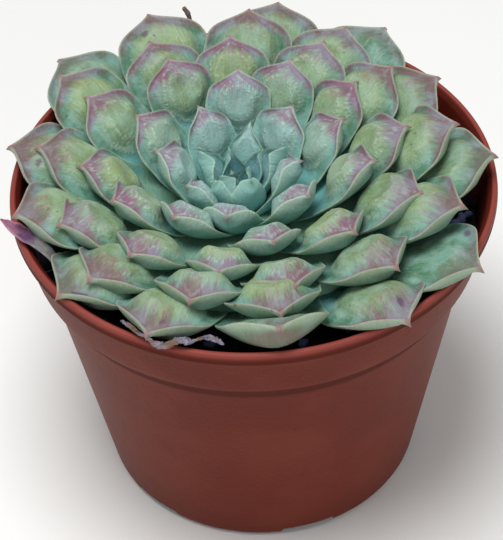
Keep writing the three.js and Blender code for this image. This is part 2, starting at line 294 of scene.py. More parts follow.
tilt_sin, tilt_cos = math.sin(CAMERA_TILT), math.cos(CAMERA_TILT)
roll_sin, roll_cos = math.sin(CAMERA_ROLL), math.cos(CAMERA_ROLL)
backward = Vector((0, -tilt_cos, tilt_sin))
upward = Vector((0, tilt_sin, tilt_cos))
rightward = Vector((1, 0, 0))
camera = bpy.data.objects.new("camera", bpy.data.cameras.new("camera"))
camera.data.sensor_width = SENSOR_MM
camera.data.lens = SENSOR_MM * FOCAL_PX / PICTURE_HEIGHT_PX
axes = (rightward * roll_cos + upward * roll_sin, upward * roll_cos - rightward * roll_sin, backward)
stand = (Vector(CAMERA_TARGET) + backward * CAMERA_REACH) * MM
turned_to = Matrix([[axis[k] for axis in axes] for k in range(3)])
camera.matrix_world = Matrix.Translation(stand) @ turned_to.to_4x4()
scene.collection.objects.link(camera)
scene.camera = camera
print("lens in mm:", round(camera.data.lens, 1))

# %% [markdown]
# ## The pot
# The pot is one thin wall of brown-red plastic, shaped in a mould. Such a shape is a turned one: a wall
# section goes round the axis. The corners of the section are rounded first, since a real mould has no
# sharp corner and it is the small rounding that catches the light. A Bevel modifier could round them
# too, but here each corner has a rounding of its own.

# %% Draw the section of the wall
RIM_RADIUS = 60.0             # mm, as all measures of the shapes are
POT_HEIGHT = 86.5
POT_WALL = 1.2
WALL_LINE = ([0, 64.6, 70.9, 86.5], [40.2, 52.4, 56.1, 58.4])     # heights, and outside radius at each
POT_SIDES = 180
POT_CORNERS = [               # radius, height and how far the corner is rounded
    (0, 0, 0), (39.4, 0, 0.8), (40.3, 1.6, 0.8), (52.4, 64.6, 0.8), (56.1, 70.9, 1.1), (58.35, 82.7, 0.25),
    (59.75, 83.1, 0.45), (60.0, 84.6, 0.8), (59.75, 86.5, 0.75), (58.55, 86.5, 0.45), (57.35, 85.2, 0.6),
    (54.9, 70.9, 1.0), (51.2, 64.6, 0.8), (39.45, 1.6, 0.9), (0, 1.6, 0),
]


def inside_radius(height):
    """The inner radius of the pot's wall at a height."""
    return np.interp(height, *WALL_LINE) - POT_WALL


def rounded(corners, steps=5, longest=3.0):
    """A section line whose corners are arcs, with points also along its straight stretches."""
    line = []
    spots = [np.array(c[:2], float) for c in corners]
    for k, (spot, (_, _, size)) in enumerate(zip(spots, corners)):
        if size == 0:
            line.append(spot)
            continue
        before, after = spots[k - 1] - spot, spots[k + 1] - spot
        start = spot + before / np.linalg.norm(before) * min(size, np.linalg.norm(before) * 0.48)
        end = spot + after / np.linalg.norm(after) * min(size, np.linalg.norm(after) * 0.48)
        line += [(1 - t) ** 2 * start + 2 * t * (1 - t) * spot + t * t * end
                 for t in np.linspace(0, 1, steps)]
    filled = [line[0]]
    for a, b in zip(line, line[1:]):
        cuts = int(np.linalg.norm(b - a) // longest) + 1
        filled += [a + (b - a) * t for t in np.linspace(0, 1, cuts + 1)[1:]]
    return np.array(filled)


wall_section = rounded(POT_CORNERS)
print("the section has", len(wall_section), "points")

# %% [markdown]
# Now the section goes round. A Screw modifier would do that as well. A helper is used because the mix and
# the core of the rosette are turned in the same way, and then pushed out of shape point by point.

# %% Turn the wall
def turned(section, sides):
    """Points and faces of a section line turned round the Z axis, from axis to axis."""
    turns = np.arange(sides) * 2 * math.pi / sides
    ring = section[1:-1]
    points = np.stack([np.outer(ring[:, 0], np.cos(turns)), np.outer(ring[:, 0], np.sin(turns)),
                       np.repeat(ring[:, 1:2], sides, 1)], -1).reshape(-1, 3)
    points = np.vstack([points, [0, 0, section[0][1]], [0, 0, section[-1][1]]])
    return points, shell_faces(len(ring), sides)


pot = make_piece("nursery_pot", *turned(wall_section, POT_SIDES), "pot", "pot")

# %% [markdown]
# Water runs out through slots round the foot and round holes in the floor. They could be modelled face by
# face, but a Boolean modifier cuts them in one go: a second mesh, the cutter, is taken away from the pot.

# %% Make the cutter
SLOT_COUNT = 6
FIRST_SLOT_TURN = -75         # degrees
SLOT_SIZE = (9.0, 15.0, 2.3)  # deep, wide and high
SLOT_TAPER = 0.9              # how much narrower half a slot is at its top
FOOT_RADIUS = 40.2
HOLE_RING, HOLE_RADIUS, HOLE_SIDES = 25.0, 3.2, 24
CUT_FOOT, HOLE_TOP = -1.0, 3.0
BOX_FACES = ((3, 2, 1, 0), (4, 5, 6, 7), (0, 1, 5, 4), (1, 2, 6, 5), (2, 3, 7, 6), (3, 0, 4, 7))


def cutter():
    """Slots across the foot and round holes through the floor, in one mesh."""
    deep, wide, high = SLOT_SIZE
    points, faces = [], []
    for k in range(SLOT_COUNT):
        turn = Matrix.Rotation(math.radians(FIRST_SLOT_TURN + 360 / SLOT_COUNT * k), 3, "Z")
        start = len(points)
        for z, half in ((CUT_FOOT, wide / 2), (high, wide / 2 - SLOT_TAPER)):
            for x, y in ((-1, -1), (1, -1), (1, 1), (-1, 1)):
                points.append(turn @ Vector((FOOT_RADIUS + x * deep / 2, y * half, z)))
        faces += [tuple(start + i for i in face) for face in BOX_FACES]
        start = len(points)
        for z in (CUT_FOOT, HOLE_TOP):
            points += [turn @ Vector((HOLE_RING + HOLE_RADIUS * math.cos(a), HOLE_RADIUS * math.sin(a), z))
                       for a in np.arange(HOLE_SIDES) * 2 * math.pi / HOLE_SIDES]
        faces += [tuple(start + i for i in face) for face in tube_faces(2, HOLE_SIDES)]
    mesh = bpy.data.meshes.new("cutter")
    mesh.from_pydata([tuple(p * MM) for p in points], [], faces)
    return bpy.data.objects.new("cutter", mesh)


tool = cutter()
print("cutter:", len(tool.data.polygons), "faces")

# %% [markdown]
# What a modifier shows isn't yet the mesh itself. So it is baked in, and the cutter can go. Then the new
# edges of the cuts are marked sharp, while the rounded corners of the wall stay smooth.

# %% Cut the water slots and holes
SHARP_ABOVE = 38              # degrees between two faces, over which their edge is drawn sharp


def bake_modifiers(piece):
    """Turns what the modifiers show into the piece's own mesh."""
    shown = piece.evaluated_get(bpy.context.evaluated_depsgraph_get())
    mesh = bpy.data.meshes.new_from_object(shown)
    piece.modifiers.clear()
    piece.data = mesh


scene.collection.objects.link(tool)
cut = pot.modifiers.new("slots", "BOOLEAN")
cut.object, cut.operation, cut.solver = tool, "DIFFERENCE", "EXACT"
bake_modifiers(pot)
bpy.data.objects.remove(tool)
pot.data.set_sharp_from_angle(angle=math.radians(SHARP_ABOVE))
print("pot after cutting:", len(pot.data.polygons), "faces")

# %% [markdown]
# ### The pot's finish
# The plastic has stood in a nursery: brown-red, satin, a little lighter and greyer where it is dusty,
# with faint upright scuffs and small dark specks. Dust and scuffs are noise, and where they lie depends
# on the height and on the distance from the axis. Both come from the Geometry node, which doesn't depend
# on the camera, so the marks stay where they are when the pot is seen from another side.

# %% Noise and places on the pot
def pot_marks(f):
    """The kinds of noise, and each point's height and distance from the axis in metres."""
    spot = f.node("ShaderNodeNewGeometry", output="Position")
    flat_spot = f.stretched(spot, (1.0, 1.0, 0.0))
    return SimpleNamespace(
        height=f.node("ShaderNodeSeparateXYZ", {}, {0: spot}, output=2),
        out=f.node("ShaderNodeVectorMath", {"operation": "LENGTH"}, {0: flat_spot}, output="Value"),
        cloud=f.noise(spot, 38.0, 4.0),
        grain=f.noise(spot, 900.0, 2.0),
        scuff=f.noise(f.stretched(spot, (1.0, 1.0, 0.14)), 420.0, 3.0, 0.7),
        dots=f.noise(spot, 620.0, 1.0))


# %% [markdown]
# The colour starts as two browns that drift into each other. Dust lies on it in clouds and near the foot,
# and the scuffs show most on the straight band under the lip.

# %% The dusty plastic
def dusty_plastic(f, m):
    colour = f.mix(f.rise(m.cloud, 0.35, 0.7), paint("#631e0b"), paint("#6d2714"))
    dusty = f.rise(m.cloud, 0.42, 0.75) * 0.35 + f.rise(m.height, 0.03, 0.0) * 0.25
    colour = f.mix(dusty, colour, paint("#703427"))
    on_band = f.rise(m.height, 0.070, 0.0725) * f.rise(m.height, 0.0832, 0.0820)
    colour = f.mix(f.rise(m.scuff, 0.66, 0.8) * on_band * 0.5, colour, paint("#8c5a4a"))
    colour = f.mix(f.rise(m.scuff, 0.70, 0.84) * 0.25, colour, paint("#7d4434"))
    return f.mix(f.rise(m.dots, 0.72, 0.76) * 0.5, colour, paint("#3c1c16"))


# %% [markdown]
# The lip is painted redder and lighter, and the crown on its top is paler still: a painted highlight where
# the light falls on it. The wall behind it is painted dark, a painted shade. Painted shade also lies under
# the lip and in the step, and the plastic is rougher there, so both places are darker and also duller.

# %% The worn lip and the dirt
def painted_lip_light_and_shade(f, m, colour):
    # Painted highlight: the lip is painted redder and lighter.
    colour = f.mix(f.rise(m.height, 0.0829, 0.0838) * 0.5, colour, paint("#7a2c26"))
    # Painted highlight: the crown on top of the lip is painted paler.
    crown = f.rise(m.out, 0.0584, 0.0588) * f.rise(m.height, 0.0850, 0.0860)
    colour = f.mix(crown * (0.3 + m.cloud * 0.5), colour, paint("#985048"))
    # Painted shade: the wall just behind the lip is painted dark.
    behind = f.rise(m.out, 0.0586, 0.0582) * f.rise(m.height, 0.0815, 0.0850)
    return f.mix(behind * 0.6, colour, paint("#36120c"))


def painted_shade_bands(f, m):
    # Painted shade: a dark band under the lip, and another in the step.
    under_lip = f.rise(m.height, 0.0820, 0.0829) * f.rise(m.height, 0.0856, 0.0842)
    under_lip = under_lip * f.rise(m.out, 0.0582, 0.0584)
    step = f.rise(m.height, 0.0636, 0.0664) * f.rise(m.height, 0.0712, 0.0697)
    return under_lip, step


# %% [markdown]
# The same masks now colour the plastic and roughen it, and the noise is pressed into it as a slight bump.

# %% Put the plastic together
def pot_plastic():
    f = Finish("brown_red_plastic")
    m = pot_marks(f)
    under_lip, step = painted_shade_bands(f, m)
    colour = painted_lip_light_and_shade(f, m, dusty_plastic(f, m))
    # Painted shade: the band under the lip and the step are painted dark.
    colour = f.mix(under_lip * 0.5, colour, paint("#2e1606"))
    colour = f.mix(step * (0.6 + m.cloud * 0.3), colour, paint("#430f04"))
    rough = 0.42 + m.cloud * 0.16 + step * 0.3 + under_lip * 0.35 + f.rise(m.scuff, 0.6, 0.85) * 0.15
    return f.shine(colour, rough, m.grain * 0.4 + m.scuff * 0.3 + m.cloud * 0.6, 0.00022,
                   Specular_IOR_Level=0.14, Subsurface_Weight=0.04, Subsurface_Scale=0.002)


pot.data.materials.clear()
pot.data.materials.append(pot_plastic())

# %% [markdown]
# ## The mix in the pot
# Under the leaves there is dark potting mix, a crumbly peat. It fills the pot, so it gets a wall of its
# own inside the plastic, and its top is a disc of fine rings, lifted and lowered by three sizes of waves.

# %% Lay the bed
SOIL_TOP = 73.5               # mm above the pot's foot, as is the next
SOIL_FOOT = 1.9
SOIL_GAP = 0.45               # mm between the mix and the plastic


def bed_height(x, y):
    """The height of the mix's bumpy top at places x, y."""
    radius = np.hypot(x, y)
    spots = np.stack([x, y], -1)
    dish = np.interp(radius, [0, 34, 46, 56], [-0.6, -0.4, 0.4, 0.0])
    rough = 0.55 * waves(11, spots, 9.0) + 0.4 * waves(12, spots, 3.4) + 0.28 * waves(13, spots, 1.6)
    return SOIL_TOP + dish + rough * np.interp(radius, [0, 54, 56.2], [1, 1, 0.35])


def soil_bed(sides=200, rings=64):
    wall = [(inside_radius(z) - SOIL_GAP, z) for z in (4.5, 24, 44, 64.0, 70.3)]
    top = inside_radius(SOIL_TOP) - SOIL_GAP
    under = [(0, SOIL_FOOT), (20, SOIL_FOOT), (inside_radius(SOIL_FOOT) - 1.8, SOIL_FOOT), *wall]
    over = [(r, SOIL_TOP) for r in top * (1 - (np.arange(rings) / rings) ** 1.25)]
    points, faces = turned(np.array([*under, *over, (0, SOIL_TOP)]), sides)
    bed = points[:, 2] > SOIL_TOP - 0.01
    points[bed, 2] = bed_height(points[bed, 0], points[bed, 1])
    return points, faces


soil = make_piece("potting_mix", *soil_bed(), "soil", "soil")

# %% [markdown]
# A bumpy disc alone looks like cloth, and what makes it soil is its crumbs. Each is a small ball that
# waves have pushed out of shape. A ball of triangles, an icosphere, has no poles that would show.

# %% Shape a crumb
def ball(cuts):
    """A ball of triangles, as points and faces."""
    made = bmesh.new()
    bmesh.ops.create_icosphere(made, subdivisions=cuts, radius=1.0)
    points = np.array([v.co[:] for v in made.verts])
    faces = [tuple(v.index for v in f.verts) for f in made.faces]
    made.free()
    return points, faces


def lump(seed, size, spin, x, y, lift):
    """The ball pushed out of shape, stretched to its three sizes, turned and laid on the bed."""
    shaped = grain * (1 + 0.38 * waves(seed, grain, 1.5, 4)[:, None]) * size
    z = bed_height(np.array([x]), np.array([y]))[0] + lift
    return shaped @ np.array(spin).T + (x, y, z)


grain, grain_faces = ball(2)
print("one crumb:", len(grain_faces), "triangles")

# %% [markdown]
# Several hundred crumbs lie round the edge of the bed, where they show. Their places and sizes are drawn by
# lot from a fixed seed, and a few pale grains that catch the eye are listed one by one. A particle system
# would strew them too, but joined in one mesh they stay a plain piece that any program can read.

# %% Strew the crumbs
CRUMB_COUNT, CRUMB_SEED = 760, 5
CRUMB_SIZES = (0.35, 1.7)     # mm, and many more of them are small than large
CRUMB_RING = (30, 54.6)       # mm from the axis
CRUMB_FLATNESS = 0.6
GRIT = [                      # place, three sizes, turn and tone
    (49.3, -4.9, (1.9, 1.1, 0.9), 30, 0.97), (51.2, -3.5, (1.5, 1.2, 1.1), 50, 0.97),
    (52.9, -2.2, (1.2, 0.8, 0.8), 20, 0.97), (15.5, -45.6, (0.9, 0.6, 0.7), 60, 0.97),
    (14.3, -46.3, (0.9, 0.5, 0.6), 10, 0.92), (-51.2, -16.1, (1.5, 0.22, 0.25), 20, 0.97),
]
GRIT_LIFT = 0.6


def strewn():
    """Many small lumps, each with its own size, turn, shape and tone."""
    draw = np.random.default_rng(CRUMB_SEED)
    smallest, largest = CRUMB_SIZES
    lumps, tones = [], []
    for k in range(CRUMB_COUNT):
        radius = math.sqrt(draw.uniform(CRUMB_RING[0] ** 2, CRUMB_RING[1] ** 2))
        turn = draw.uniform(0, 2 * math.pi)
        x, y = radius * math.cos(turn), radius * math.sin(turn)
        size = smallest + (largest - smallest) * draw.uniform() ** 2.5
        three = (size * draw.uniform(0.7, 1.3), size * draw.uniform(0.5, 0.9), size * CRUMB_FLATNESS)
        spin = Matrix.Rotation(draw.uniform(0, 6.28), 3, "Z") @ Matrix.Rotation(draw.normal() * 0.5, 3, "X")
        lumps.append(lump(1000 * CRUMB_SEED + k, three, spin, x, y, 0.2 * size))
        tones.append(draw.uniform())
    return lumps, tones


lumps, tones = strewn()
for k, (x, y, three, turn, tone) in enumerate(GRIT):
    lumps.append(lump(k, three, Matrix.Rotation(math.radians(turn), 3, "Z"), x, y, GRIT_LIFT))
    tones.append(tone)
faces = [tuple(i + k * len(grain) for i in face) for k in range(len(lumps)) for face in grain_faces]
tone_facts = {"tone": np.repeat(tones, len(grain))}
crumbs = make_piece("mix_crumbs", np.vstack(lumps), faces, None, "soil", tone_facts)

# %% [markdown]
# ### The mix's finish
# Moist peat is nearly black and brown by turns. Its colour follows two sizes of noise. Each crumb has a
# tone of its own. Crumbs of high tone are painted blue and made smoother, and the palest, the mineral
# grains, are painted a brighter blue: a painted glint.

# %% Mix the colours of the soil
def mix_finish():
    f = Finish("moist_peat")
    spot = f.node("ShaderNodeNewGeometry", output="Position")
    coarse = f.noise(spot, 260.0, 4.0, 0.65)
    fine = f.noise(spot, 1500.0, 3.0, 0.6)
    tone = f.fact("tone")
    colour = f.mix(f.rise(coarse, 0.35, 0.7), paint("#1a1a24"), paint("#332b2c"))
    colour = f.mix(f.rise(fine, 0.58, 0.75) * 0.6, colour, paint("#4a382c"))
    # Painted glint: crumbs of high tone are painted blue, and the palest a brighter blue.
    colour = f.mix(f.rise(tone, 0.76, 0.86) * 0.75, colour, paint("#7488b8"))
    colour = f.mix(f.rise(tone, 0.95, 0.96) * 0.9, colour, paint("#9cb2f0"))
    rough = 0.9 - f.rise(tone, 0.8, 0.9) * 0.45
    return f.shine(colour, rough, fine * 0.6 + coarse * 0.8, 0.0006, Specular_IOR_Level=0.35)


peat = mix_finish()
for piece in (soil, crumbs):
    piece.data.materials.append(peat)

# %% [markdown]
# ## The rosette
# An echeveria adds leaf after leaf round its growing tip, each turned by nearly the golden angle from the
# one before, so that no leaf shades the next. That is the rule that places them: the turn comes from the
# leaf's number, and reach, height, width and lift come from its age, through a few growth stages. Copies
# of one modelled leaf would all be alike, so each leaf is worked out anew from the same formula.

# %% The stages of growth
ROSETTE_AXIS = np.array([-3.3, -1.1])     # mm from the pot's axis
ROSETTE_LEAN = np.array([0.03, 0.06])     # how far tips rise for each mm outward, in x and in y
LEAF_COUNT = 67
WITHERED_LEAF = 65                        # dead, and laid over the rim further on
FIRST_TURN, TURN_PER_LEAF, TURN_LOSS = 204.1, 138.57, 18.7     # degrees

GROWTH = {                    # leaf numbers, and the measure at each
    "reach": ([0, 2, 5, 8, 14, 26, 42, 66], [1.4, 4.2, 6, 9.8, 15.5, 33.3, 48.1, 63]),
    "height": ([0, 2, 5, 8, 11, 14, 26, 42, 66], [87, 88.6, 91, 94, 95.8, 97.5, 96.9, 96.2, 89.8]),
    "width": ([0, 2, 4, 7, 12, 16, 28, 42, 55, 66], [4, 6.5, 8.5, 10.5, 13.5, 15.5, 18, 21.8, 24.8, 27]),
    "root_reach": ([0, 16, 66], [0.6, 3.5, 6]),
    "root_height": ([0, 6, 16, 24, 66], [82, 80.5, 78, 77, 78.5]),
    "sag": ([0, 8, 16, 26, 42, 66], [3, 8, 16, 23, 23, 20]),
    "hook": ([0, 6, 14, 66], [0.02, 0.04, 0.08, 0.08]),
    "cup": ([0, 5, 10, 14, 18, 30, 66], [3, 4.5, 4, 2, 1.2, 0.9, 0.9]),
    "youth": ([0, 8, 13, 17, 66], [1, 1, 0.6, 0, 0]),
    "pillow": ([0, 8, 16, 30, 66], [0.03, 0.08, 0.2, 0.22, 0.16]),
}
print("a leaf's age decides its", ", ".join(GROWTH))

# %% [markdown]
# No plant keeps wholly to its rule. Many leaves are turned a few degrees, or reach out further, where
# their neighbours left them room, and a few differ in form. Without that the rosette would be as even as
# a paper flower. So the strays are listed, as far as they could be measured.

# %% The leaves that stray
STRAYS = {                    # leaves that stray from the rule: turn in degrees, reach and height in mm
    1: (60, 0.6, 2.5), 4: (7, 3.5, 1.5), 5: (10, -1.5, -0.5), 6: (0, -0.5, -2), 7: (15, -1, -0.5),
    8: (-8, -0.5, 0.5), 9: (4, 1, 0.5), 10: (9, -1.5, -0.5), 11: (2, -4.5, -0.5), 12: (9, -1, -1),
    13: (7, 0.5, -2), 15: (-2, 2, 0), 16: (0, 1.5, -2), 17: (8, 0, 0), 18: (-3, -1.5, 0),
    20: (-5, 2.5, 2), 22: (7, -0.5, 1), 24: (-3, 1, 0), 25: (0, 1.5, 1), 27: (5, -1, 2),
    28: (-3, 2, 1.5), 29: (3, 2, -1), 31: (4, 0.5, -1.5), 33: (0, 1, 1), 36: (2, 1, 0),
    37: (1, 1.5, -1), 38: (-3, -0.5, 0), 39: (4, 2, 0), 43: (2, -1, 0), 45: (3, 3, 0),
    46: (-2, 1.5, 1), 48: (3, 1.5, 1.5), 49: (1, 3, 0), 50: (-0.5, -1, 1.3), 52: (-1, 1.5, 1.7),
    53: (5, 1.5, 1.5), 54: (0, 3, 1.5), 55: (-3, 1, 0), 57: (2, 0, 0), 58: (2, 6, -1),
    59: (-3, 1.5, 0), 60: (1, -2, 0), 61: (2, 2, 0), 62: (0, 2, 0), 63: (4, -2.5, 7.5),
    66: (0, 3, 0),
}
MORE_SAG = {52: -3, 63: 26}               # degrees
LESS_CUP = {8: 2.4, 11: 2.2, 13: 1.2}
LESS_PILLOW = {61: 0.04, 63: 0.1, 66: 0.08}
ODD_ROOTS = {63: (20, 81)}                # reach and height in mm
BLEMISHES = {                 # a bruise on a few leaves: place from the tip and across, size and face
    54: (0.235, 0.38, 0.05, 1), 55: (0.15, 0.3, 0.025, 1), 57: (0.29, 0.5, 0.04, 1),
    58: (0.165, 0.24, 0.042, 1), 60: (0.13, 0.63, 0.05, 1), 63: (0.5, -0.6, 0.04, 0),
    66: (0.31, 0.78, 0.05, 1),
}
NO_BLEMISH = (0, 0, 1, 2)                 # a face that no point has
print(len(STRAYS), "of", LEAF_COUNT, "leaves stray, and", len(BLEMISHES), "have a bruise")

# %% [markdown]
# Age and stray together make the plan of a leaf: its turn round the axis, its tip and root as reach and
# height, and the measures of its form.

# %% The plan of one leaf
def leaf_plan(n):
    """The measures of leaf n, in mm, in radians and as shares of its width."""
    more_turn, more_reach, more_height = STRAYS.get(n, (0, 0, 0))
    grown = {key: float(np.interp(n, *stages)) for key, stages in GROWTH.items()}
    turn = math.radians(FIRST_TURN + TURN_PER_LEAF * n - TURN_LOSS * (n / 60) ** 2 + more_turn)
    reach = grown["reach"] + more_reach
    lean = ROSETTE_LEAN @ (math.cos(turn), math.sin(turn))
    return {
        "turn": turn,
        "width": grown["width"],
        "tip": np.array([reach, grown["height"] + lean * reach + more_height]),
        "root": np.array(ODD_ROOTS.get(n, (grown["root_reach"], grown["root_height"]))),
        "sag": math.radians(grown["sag"] + MORE_SAG.get(n, 0)),
        "cup": grown["cup"] - LESS_CUP.get(n, 0),
        "pillow": grown["pillow"] - LESS_PILLOW.get(n, 0),
        **{key: grown[key] for key in ("hook", "youth")},
    }


print("leaf 20:", {key: np.round(value, 2).tolist() for key, value in leaf_plan(20).items()})

# %% [markdown]
# ### One blade
# A blade is a boat: wide and blunt, with round shoulders that draw together into one small bent point.
# Its upper face swells into a pillow inside a groove, and the edge stands up round it as a thin lip.
# Below, a keel hangs down. All of it is height above or below the blade's own bent midline. Sculpting
# could give one such leaf. A formula gives all 66, each with its own measures.
# First the outline: at each distance from the tip, counted in leaf widths, it gives how much of its full
# width the blade has there.

# %% The outline
OUTLINE = ([0, 0.02, 0.045, 0.075, 0.115, 0.16, 0.22, 0.3, 0.4, 0.55, 0.9, 1.4, 2.3, 9],
           [0, 0.05, 0.13, 0.24, 0.41, 0.605, 0.795, 0.925, 0.98, 1, 0.97, 0.84, 0.6, 0.6])
YOUNG_OUTLINE = ([0, 0.06, 0.13, 0.2, 0.3, 0.4, 0.5, 0.65, 0.8, 1.1, 1.6, 2.3, 9],
                 [0, 0.06, 0.15, 0.25, 0.4, 0.55, 0.7, 0.88, 0.97, 1, 0.84, 0.6, 0.6])
EDGE_LIFT = ([0, 0.08, 0.18, 0.35, 0.6, 1.0, 1.6, 2.4, 9],     # how high the edges stand, before the cup
             [0, 0.035, 0.07, 0.055, 0.045, 0.055, 0.06, 0.05, 0.05])


def half_width(plan, distance):
    """Half the blade's width in mm, at a distance from the tip that is counted in leaf widths."""
    young = plan["youth"]
    share = young * eased(distance, *YOUNG_OUTLINE) + (1 - young) * eased(distance, *OUTLINE)
    return plan["width"] / 2 * share


print("half of leaf 20 near its tip, in mm:", half_width(leaf_plan(20), np.array([0.1, 0.2, 0.4])).round(1))

# %% [markdown]
# Seen from the side a blade sags a little between its root and its tip, and the tip is hooked. One Bezier
# curve with four control points follows that line. Every point of the blade is then placed by three
# measures: how far along the curve it is, how far across, and how high above it.

# %% The bent midline
HOOK_LENGTH = 0.22            # in leaf widths


def midline(plan):
    """The four control points of the blade's path, its length, and how far the tip is bent down."""
    hook = plan["hook"] * plan["width"]
    root, sag = plan["root"], plan["sag"]
    chord = plan["tip"] - root
    along = math.atan2(chord[1], chord[0])
    tip = plan["tip"] + hook * np.array([-math.sin(along), math.cos(along)])
    length = float(np.linalg.norm(tip - root))
    near = root + length / 3 * np.array([math.cos(along - sag), math.sin(along - sag)])
    far = tip - length / 3 * np.array([math.cos(along + sag), math.sin(along + sag)])
    return (root, near, far, tip), length, hook


def placed(plan, distance, across, lift):
    """Points of the blade in the part's own frame, in mm."""
    (a, b, c, d), length, hook = midline(plan)
    s = np.clip(1 - distance * plan["width"] / length, 0, 1)[:, None]
    spot = (1 - s) ** 3 * a + 3 * s * (1 - s) ** 2 * b + 3 * s * s * (1 - s) * c + s ** 3 * d
    run = (1 - s) ** 2 * (b - a) + 2 * s * (1 - s) * (c - b) + s * s * (d - c)
    run /= np.linalg.norm(run, axis=1)[:, None]
    rise = lift - hook * np.maximum(0, 1 - distance / HOOK_LENGTH) ** 2
    out = spot[:, 0] - run[:, 1] * rise
    up = spot[:, 1] + run[:, 0] * rise
    cos, sin = math.cos(plan["turn"]), math.sin(plan["turn"])
    return np.stack([ROSETTE_AXIS[0] + out * cos - across * sin,
                     ROSETTE_AXIS[1] + out * sin + across * cos, up], -1)


print("leaf 20 is", round(midline(leaf_plan(20))[1], 1), "mm long")

# %% [markdown]
# The cushion on the upper face and the rounding at the edge both need a distance: one from the pillow's
# middle, the other from the nearest point of the outline.

# %% The edge and the pillow
EDGE_ROUNDING = 0.38          # mm
PILLOW_MIDDLE = 0.42          # from the tip, in leaf widths
PILLOW_FRONT, PILLOW_BACK = 0.37, 0.58    # its reach from there toward the tip and toward the root
PILLOW_SIDE = 0.88            # its reach to the side, as a share of the half width


def edge_distance(plan, distance, across):
    """How far points are from the blade's outline, in mm, in the plane of the blade."""
    line = np.concatenate([np.linspace(0, 0.4, 60), np.linspace(0.42, 3.2, 70)])
    side = np.stack([line * plan["width"], half_width(plan, line)], -1)
    outline = np.vstack([side, side * (1, -1)])
    spots = np.stack([distance * plan["width"], across], -1)
    gaps = np.linalg.norm(spots[:, None, :] - outline[None, :, :], axis=2)
    return gaps.min(1)


def swelling(distance, t):
    """The pillow's share of its full height: steep at its sides and front, and gentle toward the root."""
    ahead = distance - PILLOW_MIDDLE
    along = ahead / np.where(ahead < 0, PILLOW_FRONT, PILLOW_BACK)
    radius = np.sqrt(along ** 2 + (t / PILLOW_SIDE) ** 2)
    return 1 - smooth_step(0.45, 1.0, radius)


print("swelling at the middle and near the tip:", swelling(np.array([PILLOW_MIDDLE, 0.1]), 0.0).round(2))

# %% [markdown]
# Now the blade itself: rows of points from the tip to the root, and in each row a ring that runs over the
# upper face and back along the lower one. Rows crowd toward the tip, and columns toward the edges, since
# that is where the form turns fast.

# %% The grid of a blade
TIP_CROWDING = 1.8            # 1 would space the rows evenly


def blade_grid(plan, rows, upper, lower):
    """The blade's length, and for each point how far along, how far across and which face."""
    reach = midline(plan)[1] / plan["width"]
    steps = reach * (np.arange(1, rows + 1) / rows) ** TIP_CROWDING
    over = np.sin(np.linspace(-1, 1, upper) * math.pi / 2)
    below = np.sin(np.linspace(1, -1, lower) * math.pi / 2)[1:-1]
    t = np.tile(np.concatenate([over, below]), rows)
    on_top = np.tile(np.concatenate([np.ones(upper), np.zeros(lower - 2)]), rows)
    return reach, np.repeat(steps, upper + lower - 2), t, on_top


reach, u, _, _ = blade_grid(leaf_plan(20), rows=44, upper=31, lower=19)
print("the blade of leaf 20 is", round(reach, 2), "times as long as wide, in", len(u), "points")

# %% [markdown]
# Over this flat grid rise the cup of the edges, the thin rounding of the skin at the edge, the pillow on
# one face and the keel on the other. Soft waves, with a seed for each leaf, make every one of them uneven.

# %% The relief of a blade
CUP_BEND, YOUNG_CUP_BEND = 2.2, 0.8       # the power of the cup's curve, and how much less when young
SKIN_RISE = 0.6
KEEL, RIPE_KEEL = 0.09, 0.09              # in leaf widths: at the root, and what is added toward the tip
UNEVEN = 0.012                            # in leaf widths


def blade_relief(n, plan, u, t, on_top):
    """How high points lie in mm, their distance from the edge, and their share of the pillow."""
    width = plan["width"]
    edge = edge_distance(plan, u, half_width(plan, u) * t)
    edge[np.abs(t) > 0.9999] = 0
    ripe = np.clip(1.7 - u, 0, 1)
    bend = CUP_BEND - YOUNG_CUP_BEND * plan["youth"]
    cup = width * plan["cup"] * eased(u, *EDGE_LIFT) * np.abs(t) ** bend
    skin = EDGE_ROUNDING * np.sqrt(1 - (1 - np.clip(edge / EDGE_ROUNDING, 0, 1)) ** 2) * SKIN_RISE
    spots = np.stack([u * 3, t * 1.5], -1)
    swell = swelling(u, t + 0.05 * waves(700 + n, spots, 3.0))
    pillow = plan["pillow"] * width * swell * (1 + 0.16 * waves(100 + n, spots, 2.0))
    keel = width * (KEEL + RIPE_KEEL * ripe) * np.clip(u / 0.25, 0.3, 1) * (1 - np.abs(t) ** 1.7)
    lift = cup + np.where(on_top > 0, skin + pillow, -skin - keel)
    lift += UNEVEN * width * waves(200 + n, spots, 2.6) * smooth_step(0, 0.5, u)
    return lift, np.hypot(edge, np.where(on_top > 0, 0.5 * pillow, keel)), swell


# %% [markdown]
# Grid and relief give the points. With each point go the facts that the finish will read: how far it is
# from the tip, the midline and the edge, on which face, how swollen, how bruised and how old, and a place
# on the flat leaf, where the grain of the skin can run.

# %% The points and facts of a blade
YOUNG_NARROWING = 0.22        # as a share, at the edge of a young leaf


